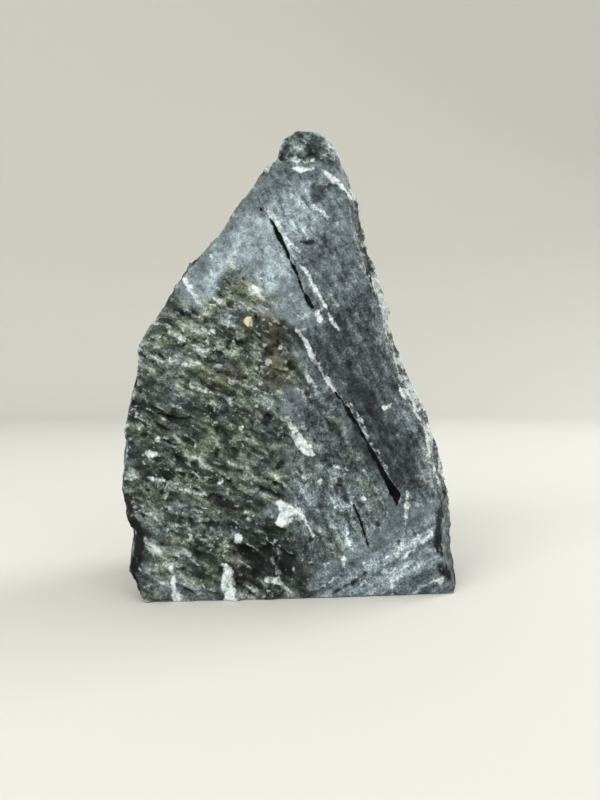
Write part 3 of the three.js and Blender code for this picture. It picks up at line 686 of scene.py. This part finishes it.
# Iron has stained the stone round a seam in the middle of the rough part. Each is (x, z, half width).
STAINS = [
    [(-31, 152, 1.2), (-27, 146, 2.2), (-23, 141, 2.4), (-20, 134, 2.0)],
    [(-12, 127, 2), (-4, 123, 4), (-8, 112, 4), (-4, 102, 5), (-8, 97, 3)],
    [(-36, 103, 2.4), (-31, 100, 3), (-23, 104.5, 2.4)], [(-18.7, 125.5, 4)],
    [(-20, 146, 2), (-24, 140, 2)],
]
stain = np.zeros(skin.count)
for line in STAINS:
    stain = np.maximum(stain, step_up(-to_line(line, x, z) + 3 * lumps(layered, 5, 19), -3, 3))
stain *= np.where(depth < FACE_REACH, 1.0, 0.0)
rusted = step_up(lumps(layered, 26, 52) + 0.5 * lumps(layered, 7, 53), 0.62, 0.95)
stain = np.maximum(stain, 0.9 * area["sides"] * rusted)

# How light each part of the stone is, in stops: its own tone, with painted light and shadow in it too (a
# lighter upper-left sheet and knob top as if lit, a darker sunk sheet and foot dip as if shadowed). Each is
# (x, z, half its length, half its width, turn, stops).
TONE_AND_LIGHT_PATCHES = [
    (-16, 156, 44, 17, 46, 1.15), (-38, 146, 16, 12, 30, 0.35), (-2, 140, 22, 12, -60, 0.45),
    (12, 175, 26, 16, -60, 0.15), (30, 108, 28, 16, -62, -1.25), (44, 70, 28, 12, -62, -1.7),
    (36, 140, 26, 9, -66, -0.2), (20, 72, 26, 9, -58, -0.4), (13, 112, 14, 5, -58, -0.7),
    (27, 32, 18, 8, -70, 0.5), (18, 30, 12, 3, -68, -0.7), (24.7, 33, 12, 2.4, -72, 0.4),
    (31, 33, 12, 2.4, -70, 0.4), (46, 14, 34, 10, 27, 0.6), (-50, 105, 30, 18, -10, 0.35),
    (-14, 57, 9, 6, 0, 0.3), (-12, 16, 16, 13, 0, -1.5), (6, 12, 6, 12, 0, -0.9), (-8, 77, 14, 5, -45, -0.5),
    (-28, 85, 34, 16, -20, 0.1), (8, 208, 14, 10, 0, 0.5), (22, 208, 10, 6, -70, 0.5),
    (-8, 118, 8, 10, 0, -0.2), (16, 50, 14, 10, -62, 0.35), (-14, 102, 16, 14, 0, 0.5),
    (6, 148, 16, 3, -60, 0.4), (28, 36, 22, 14, -62, 0.2),
]
tone_and_painted_light = np.zeros(skin.count)
for middle_x, middle_z, long, wide_by, turn, stops in TONE_AND_LIGHT_PATCHES:
    u, v = turned(x - middle_x, z - middle_z, turn).T
    near = np.hypot(u / long, v / wide_by) + 0.22 * lumps(layered, 5, 21)
    tone_and_painted_light += stops * (1 - step_up(near, 0.55, 1.25))
TONE_AND_LIGHT_REACH = 16  # mm behind the broad face
tone_and_painted_light *= np.where(depth < TONE_AND_LIGHT_REACH, 1.0, 0.0)
tone_and_painted_light += area["sides"] * 0.35 * lumps(layered, 24, 54) + 0.22
tone_and_painted_light += 0.45 * area["banded"] * lumps(steep / [2.6, 1], 5.5, 68)
tone_and_painted_light -= 0.6 * area["rough"] * step_up(z, 122, 136) * step_up(x, -58, -40)

# The rough stone's colour also comes up in patches among the bands and along the bruised rim. The mottling
# is bolder among the bands than on the upper sheet.
patched = step_up(lumps(steep / [2, 1], 6, 65), -0.2, 0.4)
broken_share = np.maximum.reduce(
    [area["rough"], split_rough, 0.45 * area["banded"] * patched, 0.5 * bruised_rim]
)
bold = 0.15 * area["banded"] - 0.25 * area["sheet"] * step_up(z, 130, 165)
for name, values in {
    "rough": broken_share, "knob": area["knob"], "scored": area["scored"], "slip": slip, "tone": tone,
    "hollow_shade": hollow_shade, "arris": arris, "bruise": bruise, "rubbed_and_highlit": rubbed_and_highlit,
    "black_and_shadow": black_and_shadow, "stain": stain, "tone_and_painted_light": tone_and_painted_light, "crack": crack, "bold": bold,
}.items():
    skin.keep(name, values)

# The mesh is thinned, more at the sides and the back than on the broad face.
FACE_THINNING, SIDE_THINNING = 0.25, 1.0
SHARPEST = math.radians(50)  # a fold steeper than this is shaded as an edge
thin_more = block.vertex_groups.new(name="thin")
on_face = area["on_face"] >= 0.5
for weight, chosen in [(FACE_THINNING, on_face), (SIDE_THINNING, ~on_face)]:
    thin_more.add([int(i) for i in np.nonzero(chosen)[0]], weight, "REPLACE")
thin = block.modifiers.new("thin", "DECIMATE")
thin.ratio = min(1.0, TRIANGLES / (2 * len(block_mesh.polygons)))
thin.vertex_group = "thin"
thin.vertex_group_factor = 1.0
block_mesh = applied(block)
block.vertex_groups.clear()
kept = Skin(block_mesh)
kept.move_to(np.clip(kept.points, box_low, box_high))
block_mesh.shade_smooth()
block_mesh.set_sharp_from_angle(angle=SHARPEST)

# The stone's look: blue-grey where it split cleanly, mottled green where it broke, and white talc
# where it is bruised, with painted light and shadow in its colour too. All of it is damp, so it has a soft
# shine.


def blended(tree, *parts):
    """A weighted sum of (value, weight)."""
    total = math_node(tree, "MULTIPLY", *parts[0])
    for value, weight in parts[1:]:
        total = math_node(tree, "MULTIPLY_ADD", value, weight, total)
    return total


def varied(tree, *parts):
    """A share about 0.5, which each of (noise, weight) moves up or down."""
    return blended(tree, *parts, (0.5 - 0.5 * sum(weight for _, weight in parts), 1.0))


def mix_colour(tree, share, first, second, blend="MIX"):
    """Two colours mixed, from all of the first at a share of 0 to all of the second at 1."""
    settings = {"data_type": "RGBA", "blend_type": blend}
    return node(tree, "ShaderNodeMix", settings, i0=share, i6=first, i7=second).outputs[2]


def ramp(tree, share, stops):
    """Colours that change over a share from 0 to 1, as {place: colour}."""
    made = tree.nodes.new("ShaderNodeValToRGB")
    while len(made.color_ramp.elements) < len(stops):
        made.color_ramp.elements.new(0.5)
    for element, (place, colour) in zip(made.color_ramp.elements, sorted(stops.items())):
        element.position = place
        element.color = (*colour, 1)
    tree.links.new(share, made.inputs[0])
    return made.outputs[0]


def spread(tree, value, low, high):
    """A value from low to high, made 0 to 1."""
    settings = {"interpolation_type": "SMOOTHSTEP"}
    return node(tree, "ShaderNodeMapRange", settings, i0=value, i1=low, i2=high).outputs[0]


def noise(tree, place, per_metre, detail, roughness, salt):
    """Plain noise with that many lumps to the metre."""
    return node(
        tree, "ShaderNodeTexNoise", {"noise_dimensions": "4D"}, Vector=place, W=float(salt),
        Scale=per_metre, Detail=detail, Roughness=roughness,
    ).outputs[0]


def streaks(tree, place, size, degrees, detail, roughness):
    """Noise drawn out along a direction on the broad face, with streaks of that size in metres."""
    mapping = node(
        tree, "ShaderNodeMapping", {"vector_type": "TEXTURE"}, Vector=place,
        Rotation=(0, -math.radians(degrees), 0), Scale=size,
    )
    return noise(tree, mapping.outputs[0], 1.0, detail, roughness, 0)


def grain_group():
    """The grain of soapstone: mottling of two sizes, fine grain, dark blotches, pale and dark grains."""
    group = bpy.data.node_groups.new("soapstone grain", "ShaderNodeTree")
    group.interface.new_socket("Place", in_out="INPUT", socket_type="NodeSocketVector")
    for name in ("Mottle", "Grit", "Fine", "Blotches", "Pale grains", "Dark grains"):
        group.interface.new_socket(name, in_out="OUTPUT", socket_type="NodeSocketFloat")
    start, end = group.nodes.new("NodeGroupInput"), group.nodes.new("NodeGroupOutput")
    place = start.outputs[0]
    mottle = noise(group, place, 185.0, 2.0, 0.5, 0)
    grit = noise(group, place, 430.0, 2.0, 0.5, 1)
    fine = noise(group, place, 1150.0, 1.0, 0.5, 2)
    gathered = noise(group, place, 85.0, 2.0, 0.5, 5)
    gathered = math_node(group, "MULTIPLY", math_node(group, "SUBTRACT", gathered, 0.5), 0.40)
    blotch = noise(group, place, 175.0, 4.0, 0.6, 7)
    blotches = spread(group, math_node(group, "SUBTRACT", blotch, gathered), 0.54, 0.64)
    flecks = noise(group, place, 420.0, 2.0, 0.5, 8)
    specks = noise(group, place, 520.0, 2.0, 0.5, 3)
    pale = spread(group, math_node(group, "ADD", specks, gathered), 0.64, 0.76)
    dark = spread(group, math_node(group, "SUBTRACT", flecks, gathered), 0.60, 0.72)
    for index, value in enumerate((mottle, grit, fine, blotches, pale, dark)):
        group.links.new(value, end.inputs[index])
    return group


stone.use_nodes = True
tree = stone.node_tree
shader = tree.nodes["Principled BSDF"]
position = node(tree, "ShaderNodeTexCoord").outputs["Object"]
grain = node(tree, "ShaderNodeGroup", {"node_tree": grain_group()}, Place=position)
mottle, grit, fine, blotches, pale_grains, dark_grains = grain.outputs


def marked(name):
    """What the shaping above kept on the mesh under that name."""
    return node(tree, "ShaderNodeAttribute", {"attribute_name": name}).outputs["Fac"]


# Clean split faces: slate grey, clouded and speckled, with steep streaks where the stone slipped.
SLIP_RUN = -62  # degrees above level going right
slipped = streaks(tree, position, (0.012, 0.004, 0.0026), SLIP_RUN, 3.0, 0.5)
clouds = noise(tree, position, 90.0, 3.0, 0.5, 11)
plain = varied(tree, (mottle, 0.4), (clouds, 0.45), (grit, 0.4), (fine, 0.45), (slipped, 0.2))
drawn = varied(tree, (slipped, 1.0), (mottle, 0.6), (clouds, 0.4), (grit, 0.8), (fine, 0.75))
share = node(tree, "ShaderNodeMix", {"data_type": "FLOAT"}, i0=marked("slip"), i2=plain, i3=drawn)
share = math_node(tree, "SUBTRACT", share.outputs[0], 0.5)
share = math_node(tree, "MULTIPLY_ADD", share, math_node(tree, "ADD", marked("bold"), 1.0), 0.5)
clean = ramp(tree, share, {
    0.16: (0.010, 0.014, 0.015), 0.36: (0.045, 0.057, 0.063), 0.50: (0.084, 0.105, 0.118),
    0.64: (0.140, 0.170, 0.185), 0.86: (0.36, 0.40, 0.41),
})

# Scored foot: the same stone, with broad scrapes that climb to the right.
MARKS_RUN = 28  # degrees
scrapes = streaks(tree, position, (0.045, 0.010, 0.0042), MARKS_RUN, 2.0, 0.5)
scraped = ramp(tree, varied(tree, (scrapes, 1.1), (mottle, 0.5), (grit, 0.6), (fine, 0.7)), {
    0.16: (0.014, 0.019, 0.022), 0.36: (0.055, 0.071, 0.083), 0.50: (0.096, 0.122, 0.140),
    0.64: (0.160, 0.194, 0.215), 0.86: (0.40, 0.445, 0.47),
})

# Rough break: grey-green and olive, laminated, from nearly black to pale.
OLIVE, COOL, BLUISH = (0.96, 1.0, 0.81, 1), (0.93, 0.98, 1.05, 1), (0.94, 1.0, 1.10, 1)
DARK_GREEN = (0.014, 0.018, 0.017, 1)
lamina = streaks(tree, position, (0.0120, 0.0040, 0.0032), LAYERS_RUN, 3.0, 0.55)
beds = streaks(tree, position, (0.026, 0.010, 0.008), LAYERS_RUN, 2.0, 0.5)
broken = varied(tree, (lamina, 1.1), (beds, 0.9), (mottle, 0.75), (grit, 0.4), (fine, 0.5))
broken = math_node(tree, "MULTIPLY_ADD", marked("tone"), 0.07, broken)
green = ramp(tree, broken, {
    0.16: (0.004, 0.006, 0.006), 0.36: (0.022, 0.029, 0.026), 0.50: (0.060, 0.076, 0.066),
    0.64: (0.130, 0.153, 0.139), 0.78: (0.26, 0.29, 0.275), 0.92: (0.48, 0.52, 0.51),
})
tints = noise(tree, position, 60.0, 3.0, 0.5, 13)
tinted = math_node(tree, "MULTIPLY", spread(tree, tints, 0.40, 0.56), spread(tree, broken, 0.80, 0.60))
olive = mix_colour(tree, tinted, green, OLIVE, "MULTIPLY")
olive = mix_colour(tree, spread(tree, tints, 0.50, 0.38), olive, COOL, "MULTIPLY")
bluish = mix_colour(tree, 1.0, green, BLUISH, "MULTIPLY")

colour = mix_colour(tree, marked("scored"), clean, scraped)
colour = mix_colour(tree, marked("rough"), colour, olive)
colour = mix_colour(tree, marked("knob"), colour, bluish)
blotched = math_node(tree, "MULTIPLY_ADD", marked("rough"), 0.35, 0.20)
blotched = math_node(tree, "MULTIPLY", blotches, blotched)
colour = mix_colour(tree, blotched, colour, DARK_GREEN)

# Iron stain, each region's lightness in stops (own tone plus painted light and shadow), painted shading in
# hollows, and dark grains.
RUST, HOLLOW_SHADE, DARK_GRAIN = (0.055, 0.042, 0.026, 1), (0.009, 0.012, 0.011, 1), (0.010, 0.013, 0.013, 1)
rusty = spread(tree, varied(tree, (mottle, 1.4), (lamina, 1.0), (grit, 1.0)), 0.34, 0.61)
rusty = math_node(tree, "MULTIPLY", marked("stain"), rusty)
colour = mix_colour(tree, math_node(tree, "MULTIPLY", rusty, 0.82), colour, RUST)
# painted light and shadow: the colour is scaled by each region's stops, brighter or darker as light falling
# on it would make it
light = math_node(tree, "POWER", 2.0, marked("tone_and_painted_light"))
colour = node(tree, "ShaderNodeVectorMath", {"operation": "SCALE"}, Vector=colour, Scale=light).outputs[0]
# painted shading: hollows are darkened towards a dark green-grey, standing for the shadow that falls in them
sunk = math_node(tree, "MULTIPLY", marked("hollow_shade"), 0.80)
colour = mix_colour(tree, sunk, colour, HOLLOW_SHADE)
colour = mix_colour(tree, math_node(tree, "MULTIPLY", dark_grains, 0.55), colour, DARK_GRAIN)

# White talc: bruises, the pale right rim (partly a painted highlight), pale grains and the arrises. Iron
# turns it cream.
CREAM = (0.56, 0.55, 0.40, 1)
fray = varied(tree, (slipped, 0.8), (mottle, 0.9), (grit, 1.4), (fine, 0.9))
fray = math_node(tree, "SUBTRACT", fray, 0.5)
bruised = spread(tree, math_node(tree, "MULTIPLY_ADD", fray, 0.7, marked("bruise")), 0.15, 0.85)
bruised = math_node(tree, "MULTIPLY", bruised, spread(tree, marked("bruise"), 0.02, 0.35))
worn = spread(tree, math_node(tree, "MULTIPLY_ADD", fray, 0.6, marked("arris")), 0.45, 1.2)
# painted highlight in part: the pale rim patches also stand for the light caught along the right rim
rim_talc_and_highlight = spread(tree, math_node(tree, "MULTIPLY_ADD", fray, 1.1, marked("rubbed_and_highlit")), 0.25, 1.15)
rim_talc_and_highlight = math_node(tree, "MULTIPLY", rim_talc_and_highlight, spread(tree, marked("rubbed_and_highlit"), 0.02, 0.35))
talc = math_node(tree, "MULTIPLY", bruised, 0.92)
talc = math_node(tree, "MAXIMUM", talc, math_node(tree, "MULTIPLY", worn, 0.5))
talc = math_node(tree, "MAXIMUM", talc, math_node(tree, "MULTIPLY", rim_talc_and_highlight, 0.75))
grains = math_node(tree, "MULTIPLY_ADD", marked("rough"), 0.45, 0.08)
talc = math_node(tree, "MAXIMUM", talc, math_node(tree, "MULTIPLY", pale_grains, grains))
powder = ramp(tree, varied(tree, (fine, 0.8), (grit, 0.9), (mottle, 0.6)), {
    0.2: (0.34, 0.39, 0.39), 0.5: (0.60, 0.66, 0.66), 0.8: (0.80, 0.85, 0.85),
})
powder = mix_colour(tree, marked("stain"), powder, CREAM)
colour = mix_colour(tree, talc, colour, powder)

# Black breaks with painted shadow in the notches and over the foot, and painted shadow inside the cracks.
BLACK_AND_SHADOW_COLOUR, CRACK_SHADOW = (0.005, 0.007, 0.007, 1), (0.003, 0.004, 0.004, 1)
uneven = spread(tree, varied(tree, (mottle, 1.0), (grit, 0.9), (lamina, 0.5)), 0.84, 0.58)
# painted shadow in part: this darkens the edge notches and the dip over the foot as their shadow would, as
# well as the dark chlorite
black_and_shadow_share = math_node(tree, "MULTIPLY", marked("black_and_shadow"), uneven)
colour = mix_colour(tree, math_node(tree, "MULTIPLY", black_and_shadow_share, 0.95), colour, BLACK_AND_SHADOW_COLOUR)
# painted shadow: the insides of cracks are coloured nearly as dark as the shadow in them would be
split = spread(tree, math_node(tree, "MULTIPLY_ADD", fray, 0.5, marked("crack")), 0.30, -0.15)
colour = mix_colour(tree, split, colour, CRACK_SHADOW)
tree.links.new(colour, shader.inputs["Base Color"])

# Shine: damp, duller where it is bruised, in shaded hollows, on the dark breaks and painted shadow, and in
# cracks.
dull = math_node(tree, "MAXIMUM", math_node(tree, "MAXIMUM", black_and_shadow_share, split), marked("hollow_shade"))
gloss = blended(tree, (grit, 0.3), (talc, 0.25), (dull, 0.42), (0.34, 1.0))
tree.links.new(gloss, shader.inputs["Roughness"])
shader.inputs["Specular IOR Level"].default_value = 0.18
height = blended(tree, (mottle, 0.4), (grit, 0.4), (fine, 0.25), (lamina, marked("rough")))
bump = node(tree, "ShaderNodeBump", Strength=0.5, Distance=0.0007, Height=height)
tree.links.new(bump.outputs[0], shader.inputs["Normal"])

block_mesh.materials.clear()
block_mesh.materials.append(stone)
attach(block, "root")
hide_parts("soapstone_block")

# ----------------------------------------
# The stage: a round floor of pale paper that the stone stands on, curved up into a wall.
# Three soft lights stand in front and behind, and a camera looks at the broad face.

FLOOR_REACH = 1.6  # m, the flat floor's radius
SWEEP = 0.7  # m, the radius of the curve between floor and wall
WALL_TOP = 2.2  # m
SIDES, CURVE_STEPS = 96, 12
PAPER = (0.54, 0.53, 0.485, 1)
profile = [(0.0, 0.0), (FLOOR_REACH * 0.5, 0.0), (FLOOR_REACH, 0.0)]
for k in range(1, CURVE_STEPS + 1):
    angle = math.radians(90 * k / CURVE_STEPS)
    profile.append((FLOOR_REACH + SWEEP * math.sin(angle), SWEEP * (1 - math.cos(angle))))
profile.append((FLOOR_REACH + SWEEP, WALL_TOP))
turns = [2 * math.pi * k / SIDES for k in range(SIDES)]
rounds = [[(r * math.cos(t), r * math.sin(t), height) for t in turns] for r, height in profile[1:]]
stage_points = [(0.0, 0.0, 0.0)] + [p for ring in rounds for p in ring]
stage_faces = [(0, 1 + k, 1 + (k + 1) % SIDES) for k in range(SIDES)]
for ring in range(len(rounds) - 1):
    a, b = 1 + ring * SIDES, 1 + (ring + 1) * SIDES
    stage_faces += [(a + k, b + k, b + (k + 1) % SIDES, a + (k + 1) % SIDES) for k in range(SIDES)]
sweep_mesh = bpy.data.meshes.new("pale_sweep")
sweep_mesh.from_pydata(stage_points, [], stage_faces)
sweep_mesh.shade_smooth()
sweep = bpy.data.objects.new("pale_sweep", sweep_mesh)
scene.collection.objects.link(sweep)
paper = bpy.data.materials.new("pale paper")
paper.use_nodes = True
matt = paper.node_tree.nodes["Principled BSDF"]
matt.inputs["Base Color"].default_value = PAPER
matt.inputs["Roughness"].default_value = 0.9
sweep_mesh.materials.append(paper)


MIDDLE = (0, 0, 0.1)  # m, what the lights point at


def soft_light(name, place, size, watts, colour):
    """A square light of that size, turned to the stone's middle."""
    lamp = bpy.data.lights.new(name, "AREA")
    lamp.shape = "SQUARE"
    lamp.size = size
    lamp.energy = watts
    lamp.color = colour
    holder = bpy.data.objects.new(name, lamp)
    scene.collection.objects.link(holder)
    holder.location = place
    away = holder.location.copy()
    away.x, away.y, away.z = (p - t for p, t in zip(place, MIDDLE))
    holder.rotation_euler = away.to_track_quat("Z", "Y").to_euler()


soft_light("key", (-1.2, -1.35, 1.4), 1.1, 34.0, (1.0, 0.99, 0.97))
soft_light("rim", (1.4, 0.7, 1.4), 1.0, 24.0, (1, 1, 1))
soft_light("fill", (1.0, -1.4, 1.2), 1.2, 9.0, (0.93, 0.97, 1.0))

world = bpy.data.worlds.new("sky")
world.use_nodes = True
daylight = world.node_tree.nodes["Background"]
daylight.inputs["Color"].default_value = (0.95, 0.97, 1.0, 1)
daylight.inputs["Strength"].default_value = 1.08
scene.world = world
scene.view_settings.view_transform = "Standard"

DOWN = math.atan(14 / 600)  # how far below level the camera looks
lens = bpy.data.cameras.new("camera")
lens.lens = 27
lens.sensor_width = 36
camera = bpy.data.objects.new("camera", lens)
scene.collection.objects.link(camera)
camera.location = (0.003819, -0.306404, 0.0956)
camera.rotation_euler = (math.radians(90) - DOWN, 0, 0)
scene.camera = camera
